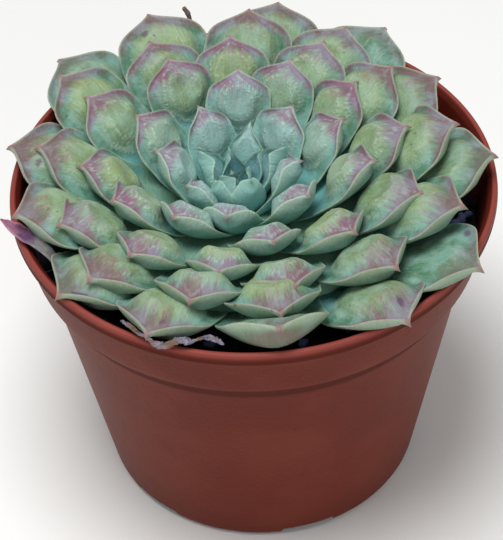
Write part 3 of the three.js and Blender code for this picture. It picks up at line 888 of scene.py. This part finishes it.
def blade(n, rows, upper, lower):
    """Points and facts of leaf n."""
    plan = leaf_plan(n)
    width = plan["width"]
    reach, u, t, on_top = blade_grid(plan, rows, upper, lower)
    lift, edge, swell = blade_relief(n, plan, u, t, on_top)
    half = half_width(plan, u)
    across = half * t
    across += UNEVEN * width * waves(300 + n, np.stack([u * 3], -1), 1.8) * smooth_step(0.05, 0.4, u)
    across *= 1 - YOUNG_NARROWING * plan["youth"] * t ** 2
    along_spot, across_spot, size, face = BLEMISHES.get(n, NO_BLEMISH)
    far = np.hypot(u - along_spot, half * (t - across_spot) / width) / size
    bruise = np.exp(-far ** 2) * (on_top == face)
    ends = placed(plan, np.array([0.0, reach]), np.zeros(2), np.zeros(2))
    points = np.vstack([placed(plan, u, across, lift), ends])
    facts = {
        "tipward": np.append(u, [0, reach]),
        "across": np.append(t, [0, 0]),
        "edge": np.append(edge, [0, 9]),
        "face": np.append(on_top, [1, 0]),
        "swell": np.append(swell, [0, 0]),
        "bruise": np.append(bruise, [0, 0]),
        "age": np.full(len(points), n / (LEAF_COUNT - 1)),
        "grain_place": np.stack([np.append(across, [0, 0]), np.append(u, [0, reach]) * width,
                                 np.full(len(points), 7.3 * n)], -1),
    }
    return points, facts


leaf_points, leaf_facts = blade(20, rows=44, upper=31, lower=19)
print("leaf 20 has", len(leaf_points), "points and the facts", ", ".join(leaf_facts))

# %% [markdown]
# ### Leaves that rest on the rim
# The lowest leaves lie on the pot's lip. A leaf gives way where it would sink into the plastic: points
# over the lip are pushed up until they clear it, most under the leaf and less on its upper face.

# %% Let leaves give way to the rim
RIM_CLEARANCE = 0.36          # mm


def over_rim(points):
    """The points, with those over the lip lifted clear of it."""
    radius = np.hypot(points[:, 0], points[:, 1])
    low_wall = inside_radius(80.0) - RIM_CLEARANCE
    floor = POT_HEIGHT + RIM_CLEARANCE
    near = smooth_step(low_wall - 1.5, inside_radius(POT_HEIGHT) - RIM_CLEARANCE, radius)
    near *= 1 - smooth_step(RIM_RADIUS + RIM_CLEARANCE, RIM_RADIUS + RIM_CLEARANCE + 1.0, radius)
    needed = np.maximum(0, floor - points[:, 2]) * near
    moved = points.copy()
    moved[:, 2] += needed
    return moved


print("a point in the lip is raised to", over_rim(np.array([[59.0, 0.0, 85.0]]))[0, 2].round(2), "mm")

# %% [markdown]
# The leaves are grown in three pieces, from the heart outward. The older leaves are larger and get more
# points, and in pieces each can be hidden or looked at alone.

# %% Grow all the leaves
FIRST_MIDDLE_LEAF, FIRST_RIM_LEAF = 16, 42


def grow(numbers, rows, upper, lower):
    """Points, faces and facts of many leaves in one."""
    points, faces, facts = [], [], {}
    count = 0
    ring = upper + lower - 2
    for n in numbers:
        if n == WITHERED_LEAF:
            continue
        leaf_points, leaf_facts = blade(n, rows, upper, lower)
        points.append(over_rim(leaf_points))
        faces += shell_faces(rows, ring, count)
        count += len(leaf_points)
        for key, values in leaf_facts.items():
            facts.setdefault(key, []).append(values)
    return np.vstack(points), faces, {key: np.concatenate(values) for key, values in facts.items()}


def grow_piece(name, numbers, rows, upper, lower):
    points, faces, facts = grow(numbers, rows, upper, lower)
    return make_piece(name, points, faces, "rosette", "leaf", facts)


heart_leaves = grow_piece("heart_leaves", range(FIRST_MIDDLE_LEAF), rows=34, upper=25, lower=15)
middle_leaves = grow_piece("middle_leaves", range(FIRST_MIDDLE_LEAF, FIRST_RIM_LEAF),
                           rows=44, upper=31, lower=19)
rim_leaves = grow_piece("rim_leaves", range(FIRST_RIM_LEAF, LEAF_COUNT), rows=48, upper=33, lower=21)

# %% [markdown]
# ### Stem and core
# Under the blades the leaf roots are packed so tightly that they form one dark body on a short stem. It
# hardly shows, so it is a turned shape like the pot, made a little uneven. Its facts are those of the
# root of an old leaf, and so it can wear the leaves' own finish.

# %% Turn the core
CORE = [                      # radius and height
    (0, 58), (5, 58), (6, 68), (6.4, 76), (8, 76.5), (22, 77.5), (36, 80.5), (41, 83.5), (38, 85.5),
    (30, 85.5), (20, 84), (12, 82.3), (0, 82.3),
]
CORE_SIDES, CORE_UNEVEN = 72, 0.35

core_points, core_faces = turned(np.array(CORE, float), CORE_SIDES)
core_points[:, :2] += ROSETTE_AXIS
core_points += CORE_UNEVEN * np.stack([waves(30 + k, core_points, 6.0) for k in range(3)], -1)
core = make_piece("stem_and_core", core_points, core_faces, "rosette", "leaf", {
    "tipward": np.full(len(core_points), 2.4),
    "edge": np.full(len(core_points), 9.0),
    "age": np.full(len(core_points), 1.0),
    "grain_place": core_points,
})

# %% [markdown]
# ### The leaf's finish
# Echeveria skin is a layered thing. Green flesh lies under it. The pillow is painted yellow, a painted
# light where the light passes through it, and the flesh is painted bluish toward the root, a painted shade
# where leaves shade each other. Strong light has drawn out red pigment: it lies in the groove behind the
# edge and runs into the bent tip. Over all this is a thin powder of wax, which makes the leaf matt and
# milky, and which is rubbed off in places. The very edge is bare and pale.
# The masks come from the facts stored with the points, broken up by noise that is drawn out along the
# leaf, because its flesh grows in long fibres.

# %% Read the facts and draw the noise
def leaf_marks(f):
    place, age = f.place("grain_place"), f.fact("age")
    m = SimpleNamespace(
        u=f.fact("tipward"), t=f.fact("across"), edge=f.fact("edge"), face=f.fact("face"),
        swell=f.fact("swell"), bruise=f.fact("bruise"), age=age,
        fibre=f.noise(f.stretched(place, (1.0, 0.16, 1.0)), 1.1, 4.0, 0.6, 0.4),
        thread=f.noise(f.stretched(place, (1.0, 0.10, 1.0)), 2.8, 3.0, 0.6),
        cloud=f.noise(place, 0.2, 3.0, 0.5),
        powder=f.noise(place, 1.6, 4.0, 0.65),
        speck=f.noise(place, 0.62, 1.0, 0.5),
        swirl=f.noise(place, 0.55, 3.0, 0.6, 1.6),
        patch=f.noise(f.stretched(place, (1.0, 0.6, 1.0)), 0.42, 2.0, 0.5),
        own=f.noise(f.stretched(place, (0.0, 0.0, 0.29)), 1.0, 0.0),      # one tone for each leaf
        inner=f.rise(age, 0.45, 0.12), outer=f.rise(age, 0.35, 0.8))
    m.pillow = f.rise(m.swell + m.fibre * 0.9 - 0.45, 0.05, 0.9) * m.face
    m.below = 1 - m.face
    return m


# %% [markdown]
# The flesh is blue-green at the heart and greener outward, and toward the root it is painted bluish, a
# painted shade. A pillow is painted sunny yellow on the older leaves, a painted light with paler threads as
# painted highlights, and is greyer on the young ones, and the lower face is dull.

# %% The flesh
def flesh(f, m):
    age, pillow = m.age, m.pillow
    green = f.mix(f.rise(m.cloud, 0.35, 0.65), paint("#47795f"), paint("#729f8f"))
    green = f.mix(m.inner, green, paint("#86bcb4"))
    green = f.mix(f.rise(age, 0.2, 0.1) * m.face, green, paint("#548a8f"))
    # Painted shade: the flesh is painted bluish toward the root, where leaves shade each other.
    green = f.mix(f.rise(m.u, 0.65, 1.0) * (0.85 - m.inner * 0.4), green, paint("#67aaaa"))
    ripe = f.rise(age, 0.25, 0.45) * f.rise(age, 0.98, 0.88)
    # Painted light: the pillows of older leaves are painted sunny yellow.
    green = f.mix(pillow * ripe * (0.35 + f.rise(m.own, 0.6, 0.4) * 0.25), green, paint("#9eac70"))
    green = f.mix(pillow * f.rise(age, 0.1, 0.2) * f.rise(age, 0.5, 0.25) * 0.4, green, paint("#9cb3b4"))
    # Painted highlight: paler threads along the pillow's fibres.
    green = f.mix(pillow * f.rise(m.thread, 0.45, 0.75) * (1 - m.inner) * 0.35, green, paint("#c2cd90"))
    dull = f.mix(m.outer, paint("#629a8d"), paint("#78997b"))
    return f.mix(m.below * (1 - m.inner) * 0.7, green, dull)


# %% [markdown]
# Red pigment gathers at the tip, in the groove behind the edge, and in streaks that run back from both.
# Its amount differs from leaf to leaf, and clouds of wax turn it mauve or sandy.

# %% The blush
def blush_share(f, m):
    ends = f.rise(m.u + m.fibre * 0.5 - 0.25, 0.38, 0.06)
    groove = f.rise(m.edge + m.fibre * 1.8 - 0.9, 3.0, 0.8) * f.rise(m.u, 0.65, 0.28)
    groove = groove * f.rise(m.swell, 0.9, 0.3)
    streaks = f.rise(m.thread + m.fibre * 0.5, 0.6, 0.85) * f.rise(m.u, 0.75, 0.25)
    coloured = f.rise(m.age, 0.17, 0.2) * (1 - m.outer * 0.1) * (0.25 + m.face * 0.75)
    blush = ends * 0.62 + groove * 0.42 + streaks * 0.32 + m.patch * 0.75 + m.own * 0.7 - 0.78
    return f.rise(blush, 0.08, 0.92) * coloured * (1 - f.rise(m.age, 0.88, 0.92) * 0.35)


def blushed(f, m, green, blush):
    pigment = f.mix(m.outer, paint("#83506f"), paint("#785458"))
    pigment = f.mix(f.rise(m.cloud, 0.42, 0.6) * 0.55, pigment, paint("#877890"))
    sandy = f.rise(m.powder, 0.45, 0.65) * m.pillow * m.outer
    pigment = f.mix(sandy * 0.55, pigment, paint("#a8876b"))
    return f.mix(blush * (0.9 - m.inner * 0.15), green, pigment)


# %% [markdown]
# The lower face is pale in a band along its edge, and deeper green in its hollow, a painted shade. The one
# leaf that shows its underside at the front is tanned.

# %% The lower face
def lower_face(f, m, colour):
    bare = f.rise(abs(m.t) + m.fibre * 0.5, 1.2, 0.6)
    tan = f.rise(m.age, 0.93, 0.95) * f.rise(m.age, 0.98, 0.96) * m.below * bare
    colour = f.mix(tan * 0.75, colour, paint("#7d6659"))
    # Painted shade: the lower face is painted deeper green away from its edge.
    hollow_shade = f.rise(m.edge, 3.0, 8.0) * m.below * (1 - m.inner)
    colour = f.mix(hollow_shade * 0.35, colour, paint("#4a7556"))
    band = f.rise(m.edge + m.fibre * 1.2 - 0.6, 2.8, 0.3) * m.below
    band = band * (1 - m.inner * 0.6) * (1 - tan * 0.8)
    return f.mix(band * 0.5, colour, paint("#b6c6a6"))


# %% [markdown]
# Leaves lie pressed together in the bud, and each prints the outline of its neighbour on the next as pale
# ovals. A painted highlight runs along the pillow's border toward the root. Wax lies over it all, thickest
# at the heart.

# %% The prints and the wax
def bud_prints(f, m):
    oval = ((m.u - 0.5) * 2.3) ** 2 + (m.t * 1.5) ** 2 + m.cloud * 0.9
    prints = f.rise(oval, 1.15, 1.3) * f.rise(oval, 1.5, 1.35)
    prints = prints + f.rise(oval, 0.75, 0.85) * f.rise(oval, 1.0, 0.9)
    prints = prints * f.rise(m.age, 0.13, 0.2) * f.rise(m.age, 0.85, 0.35)
    return prints * m.face * f.rise(m.powder, 0.35, 0.6)


def waxed(f, m, colour, prints):
    colour = f.mix(prints * 0.4, colour, paint("#c3dccb"))
    # Painted highlight: a pale line along the pillow's border toward the root, where its crease catches the
    # light.
    slope = m.swell + m.powder * 0.3 - 0.15
    hem_highlight = f.rise(slope, 0.12, 0.3) * f.rise(slope, 0.55, 0.35)
    hem_highlight = hem_highlight * f.rise(m.u, 0.25, 0.6) * m.face * f.rise(m.age, 0.15, 0.25)
    colour = f.mix(hem_highlight * 0.3, colour, paint("#bcd6bf"))
    wax = f.rise(m.powder * 0.6 + m.cloud * 0.5, 0.4, 0.8) * (0.14 + m.inner * 0.25)
    colour = f.mix(wax, colour, paint("#a9c2cc"))
    streak = f.rise(m.swirl, 0.58, 0.68) * m.face * f.rise(m.swell, 0.05, 0.6)
    return f.mix(streak * 0.1, colour, paint("#d3dfd3"))


# %% [markdown]
# Last come the things that lie on top: the bare pale edge, the dark red point, and a few specks and
# bruises.

# %% The edge, the point and the spots
def edged(f, m, colour, blush):
    rim = f.rise(m.edge, 0.22 + m.face * 0.5, 0.06) * f.rise(m.u, 2.4, 1.4)
    rim_colour = f.mix(blush * 0.4, paint("#b4bea2"), paint("#aea098"))
    rim_colour = f.mix(m.inner, rim_colour, paint("#b2d2be"))
    colour = f.mix(rim * (0.55 + m.inner * 0.25), colour, rim_colour)
    point = f.rise(m.u, 0.045, 0.01) * f.rise(m.age, 0.15, 0.2)
    colour = f.mix(point * 0.6, colour, paint("#93405a"))
    bruises = f.rise(m.bruise + m.powder * 0.5 - 0.25, 0.25, 0.75)
    spots = f.rise(m.speck, 0.745, 0.77) * m.outer * 0.6 + bruises * 0.8
    return f.mix(spots, colour, paint("#5d4260"))


# %% [markdown]
# Now the layers are laid in their order, from the flesh out to the edge, and the net is closed. A little
# light goes into the flesh, fibres and prints press a bump into the skin, and the wax gives a soft sheen.

# %% Put the leaf's finish together
def leaf_skin():
    f = Finish("waxy_leaf")
    m = leaf_marks(f)
    blush, prints = blush_share(f, m), bud_prints(f, m)
    colour = blushed(f, m, flesh(f, m), blush)
    colour = waxed(f, m, lower_face(f, m, colour), prints)
    colour = edged(f, m, colour, blush)
    rough = 0.46 + m.powder * 0.22
    relief = m.fibre * 0.6 + m.thread * 0.2 + m.powder * 0.25 + m.cloud * 0.8
    relief = relief + prints * 0.2 + m.swirl * 0.15
    return f.shine(colour, rough, relief, 0.0006, Specular_IOR_Level=0.35, Subsurface_Weight=0.1,
                   Subsurface_Radius=(0.6, 1.0, 0.5), Subsurface_Scale=0.002,
                   Sheen_Weight=0.1, Sheen_Roughness=0.4)


skin = leaf_skin()
for piece in (heart_leaves, middle_leaves, rim_leaves, core):
    piece.data.materials.append(skin)

# %% [markdown]
# ## The dead leaves and the stalk
# Three things are past their time. One of the oldest leaves has shrivelled to a purple strap that lies
# over the rim, another has dried to crumpled paper, and the stub of a flower stalk stands at the back.
# All three follow a line through a few stops, which a spline makes smooth.

# %% A smooth line through stops
def smooth_line(stops, steps):
    """Points along a soft curve through the stops, whose every column is eased alike."""
    stops = np.array(stops, float)
    at = np.linspace(0, len(stops) - 1, steps)
    padded = np.vstack([2 * stops[0] - stops[1], stops, 2 * stops[-1] - stops[-2]])
    k = np.clip(at.astype(int), 0, len(stops) - 2)
    s = (at - k)[:, None]
    a, b, c, d = (padded[k + i] for i in range(4))
    return 0.5 * (2 * b + (c - a) * s + (2 * a - 5 * b + 4 * c - d) * s ** 2
                  + (3 * b - a - 3 * c + d) * s ** 3)


print("a line over a hill:", smooth_line([(0, 0), (1, 1), (2, 0)], 5).round(2).tolist())

# %% [markdown]
# The dead leaves are ribbons: a grid along such a line, folded by waves. A cloth simulation would crumple
# them too, but would seldom lay them where they lie. Each has a thickness, because a sheet without one
# would have no back.

# %% A ribbon that follows a line
def ribbon(stops, steps, columns, thickness, fold):
    """A strap along stops of x, y, z, half width and tilt. fold(along, across) lifts it."""
    line = smooth_line(stops, steps)
    run = np.gradient(line[:, :3], axis=0)
    run /= np.linalg.norm(run, axis=1)[:, None]
    level = np.stack([run[:, 1], -run[:, 0], np.zeros(steps)], -1)
    level /= np.linalg.norm(level, axis=1)[:, None]
    tilt = np.radians(line[:, 4])[:, None]
    across = level * np.cos(tilt) + np.array([0, 0, 1]) * np.sin(tilt)
    normal = np.cross(across, run)
    t = np.linspace(-1, 1, columns)
    top, bottom = [], []
    for i in range(steps):
        lifts = fold(np.full(columns, i / (steps - 1)), t)
        body = line[i, :3] + np.outer(t * line[i, 3], across[i]) + np.outer(lifts, normal[i])
        thin = thickness / 2 * np.sqrt(np.clip(1 - t ** 4, 0.04, 1))[:, None] * normal[i]
        top.append(body + thin)
        bottom.append((body - thin)[::-1])
    rings = np.concatenate([np.array(top), np.array(bottom)], 1)
    ring = 2 * columns
    points = rings.reshape(-1, 3)
    along = np.repeat(np.linspace(0, 1, steps), ring)
    sideways = np.tile(np.concatenate([t, t[::-1]]), steps)
    return points, tube_faces(steps, ring), {"along": along, "across": sideways}


# %% [markdown]
# The strap is folded up at both edges, and ripples along its length. Its stops go from under the leaves
# up to the lip and out over it, where it ends in a point.

# %% Lay the withered leaf over the rim
# Each stop is x, y, z and half the width in mm, and the tilt in degrees.
WITHERED = [(-43.5, -26.4, 80.2, 0.9, 0), (-47.5, -23.9, 84, 1.2, 0), (-51.5, -21, 87.6, 1.7, 5),
            (-55, -17.8, 88.0, 2.1, 5), (-58.5, -14.2, 87.8, 1.5, 5), (-61.5, -11.3, 87.6, 0.2, 0)]


def strap_fold(along, t):
    return 0.45 * np.abs(t) + 0.16 * waves(41, np.stack([along * 16, t * 1.2], -1), 2.2)


points, faces, facts = ribbon(WITHERED, steps=70, columns=15, thickness=0.5, fold=strap_fold)
withered = make_piece("shrivelled_leaf", points, faces, "withered_leaf", "withered", facts)

# %% [markdown]
# The dry leaf is thinner than card. Its line wanders, its width changes from stop to stop, and small
# sharp folds cross it.

# %% Crumple the dry leaf
# The stops are given as for the withered leaf.
DRY = [(-32, -47.9, 87.9, 0.35, 0), (-30.3, -49.6, 88.0, 0.6, 10), (-28.2, -52, 88.0, 0.45, -20),
       (-26, -54.2, 88.1, 0.4, 30), (-24, -56.2, 88.2, 0.9, -10), (-22, -56.8, 88.1, 1.3, 15),
       (-20.2, -56, 88.2, 0.7, -25), (-18.4, -55.6, 88.4, 1.5, 20), (-16.4, -55.9, 88.2, 0.9, -5),
       (-14.6, -55.3, 88.0, 0.45, 30), (-12.8, -54.6, 88.0, 0.5, -30), (-11.2, -54.9, 88.0, 0.9, 0),
       (-9.6, -56, 87.9, 0.8, 10), (-8.4, -57, 87.8, 0.15, 0)]


def paper_fold(along, t):
    spots = np.stack([along * 30, t * 2.0], -1)
    return 0.34 * np.abs(waves(51, spots, 3.2)) + 0.2 * waves(52, spots, 1.4)


points, faces, facts = ribbon(DRY, steps=170, columns=17, thickness=0.2, fold=paper_fold)
dry = make_piece("papery_leaf", points, faces, "dry_leaf", "dry", facts, sharp_above=50)

# %% [markdown]
# The stalk is a tube a little over a millimetre thick, ribbed by drying, with a knot where each flower
# stem sat. A curve with a round bevel would make a plain stem, but with rings of points it gets its ribs.

# %% Stand the flower stalk
STALK = [(-12.5, 49.5, 74.3), (-13.2, 50.7, 80), (-13.6, 51.6, 86), (-14.1, 52.5, 92), (-14.6, 53.0, 97),
         (-15.8, 53.1, 99.6)]
STALK_RADIUS, STALK_TAPER, RIB = 0.66, 0.12, 0.07
KNOTS = ((33, 0.16, 1.6), (50, 0.14, 1.5))      # the ring, how far it stands out, and its length in rings


def stalk_mesh(sides=16, steps=60):
    line = smooth_line(STALK, steps)
    run = np.gradient(line, axis=0)
    run /= np.linalg.norm(run, axis=1)[:, None]
    side = np.cross(run, (0, 1, 0))
    side /= np.linalg.norm(side, axis=1)[:, None]
    front = np.cross(side, run)
    turns = np.arange(sides) * 2 * math.pi / sides
    points = []
    for i in range(steps):
        knot = sum(bulge * math.exp(-((i - at) / size) ** 2) for at, bulge, size in KNOTS)
        radius = STALK_RADIUS - STALK_TAPER * i / steps + knot + RIB * np.cos(5 * turns + i * 0.03)
        radius = radius - 0.1 * (i == steps - 1)
        points.append(line[i] + np.outer(radius * np.cos(turns), side[i])
                      + np.outer(radius * np.sin(turns), front[i]))
    return np.vstack(points), tube_faces(steps, sides)


stalk = make_piece("old_flower_stalk", *stalk_mesh(), "flower_stalk", "stalk", sharp_above=60)

# %% [markdown]
# ### Their finishes
# Dead tissue has lost its wax and its juice, and is dull. Paper and stalk come from one helper: two
# colours that follow the fibres, a third in spots, and a bump.

# %% Mix the dry colours
def dry_finish(name, low, high, spots, rough, along_fibre, depth):
    f = Finish(name)
    spot = f.node("ShaderNodeNewGeometry", output="Position")
    fibre = f.noise(f.stretched(spot, along_fibre), 900.0, 4.0, 0.6)
    cloud = f.noise(spot, 240.0, 3.0, 0.55)
    colour = f.mix(f.rise(fibre, 0.3, 0.7), paint(low), paint(high))
    colour = f.mix(f.rise(cloud, 0.48, 0.62), colour, paint(spots))
    return f.shine(colour, rough, fibre + cloud * 0.5, depth, Specular_IOR_Level=0.35,
                   Subsurface_Weight=0.05, Subsurface_Scale=0.001)


dry.data.materials.append(dry_finish(
    "dry_paper", "#5a5560", "#8f8d9e", spots="#77604e", rough=0.8, along_fibre=(1, 1, 1), depth=0.0005))
stalk.data.materials.append(dry_finish(
    "dry_stalk", "#5d4439", "#85654f", spots="#6f5f66", rough=0.8, along_fibre=(1, 1, 0.1), depth=0.0004))

# %% [markdown]
# The strap isn't dry yet. It changes colour along its length, which its ribbon has stored as a fact: grey
# where the leaf leaves the stem, then violet, then red with pale edges and painted shade in its fold.

# %% Mix the colours of the strap
def shrivelled_finish():
    f = Finish("shrivelled_skin")
    along = f.fact("along")
    across = f.fact("across")
    spot = f.node("ShaderNodeNewGeometry", output="Position")
    cloud = f.noise(spot, 420.0, 4.0, 0.6)
    edges = f.rise(abs(across) + cloud * 0.4 - 0.2, 0.55, 0.9)
    colour = f.mix(f.rise(cloud, 0.4, 0.6), paint("#6e6974"), paint("#86867f"))
    colour = f.mix(f.rise(along + cloud * 0.2 - 0.1, 0.4, 0.58), colour, paint("#5c3a5e"))
    colour = f.mix(f.rise(along + cloud * 0.2 - 0.1, 0.62, 0.74), colour, paint("#94607a"))
    colour = f.mix(edges * f.rise(along, 0.4, 0.7) * 0.6, colour, paint("#b88a9a"))
    # Painted shade: a dark band in the strap's fold, to one side of its middle.
    fold = f.rise(along, 0.6, 0.68) * f.rise(along, 0.88, 0.8)
    fold = fold * f.rise(across, 0.0, 0.2) * f.rise(across, 0.75, 0.55)
    colour = f.mix(fold * 0.4, colour, paint("#4c1220"))
    return f.shine(colour, 0.5, cloud, 0.0009, Specular_IOR_Level=0.35, Subsurface_Weight=0.05,
                   Subsurface_Scale=0.001)


withered.data.materials.append(shrivelled_finish())

# %% [markdown]
# ## Floor and light
# The pot stands on a pale floor, which throws light back up on its foot. It is no part of the plant, so
# it is only staged.

# %% Lay the floor
FLOOR_HALF, FLOOR_DROP = 3.0, 0.0002      # metres

floor_mesh = bpy.data.meshes.new("floor")
corners = [(x * FLOOR_HALF, y * FLOOR_HALF, -FLOOR_DROP) for x, y in ((-1, -1), (1, -1), (1, 1), (-1, 1))]
floor_mesh.from_pydata(corners, [], [(0, 1, 2, 3)])
floor = bpy.data.objects.new("floor", floor_mesh)
scene.collection.objects.link(floor)
pale = Finish("pale_floor")
floor_mesh.materials.append(pale.shine(paint("#f4f4f2"), 0.9))

# %% [markdown]
# Soft light comes from a large panel overhead, with a weak one in front, so that the folds between leaves
# go dark and the pillows stay light. A bare lamp would draw hard shadows that the real plant hasn't got.

# %% Hang the lights
STUDIO_GLOW = 0.36            # the even light that comes from all round


def panel(name, place, aim, size, power):
    light = bpy.data.objects.new(name, bpy.data.lights.new(name, "AREA"))
    light.data.shape, light.data.size, light.data.energy = "DISK", size, power
    light.location = place
    light.rotation_euler = (Vector(aim) - Vector(place)).to_track_quat("-Z", "Y").to_euler()
    scene.collection.objects.link(light)
    print(f"{name}: {power} W, {size} m across")


panel("top_panel", place=(-0.11, -0.1, 0.95), aim=(0, 0, 0.08), size=0.5, power=7.3)
panel("front_panel", place=(0.3, -0.95, 0.5), aim=(0, 0, 0.05), size=0.6, power=1.65)

studio = bpy.data.worlds.new("studio")
studio.use_nodes = True
background = studio.node_tree.nodes["Background"]
background.inputs["Color"].default_value = (1, 1, 1, 1)
background.inputs["Strength"].default_value = STUDIO_GLOW
scene.world = studio
scene.view_settings.view_transform = "Standard"
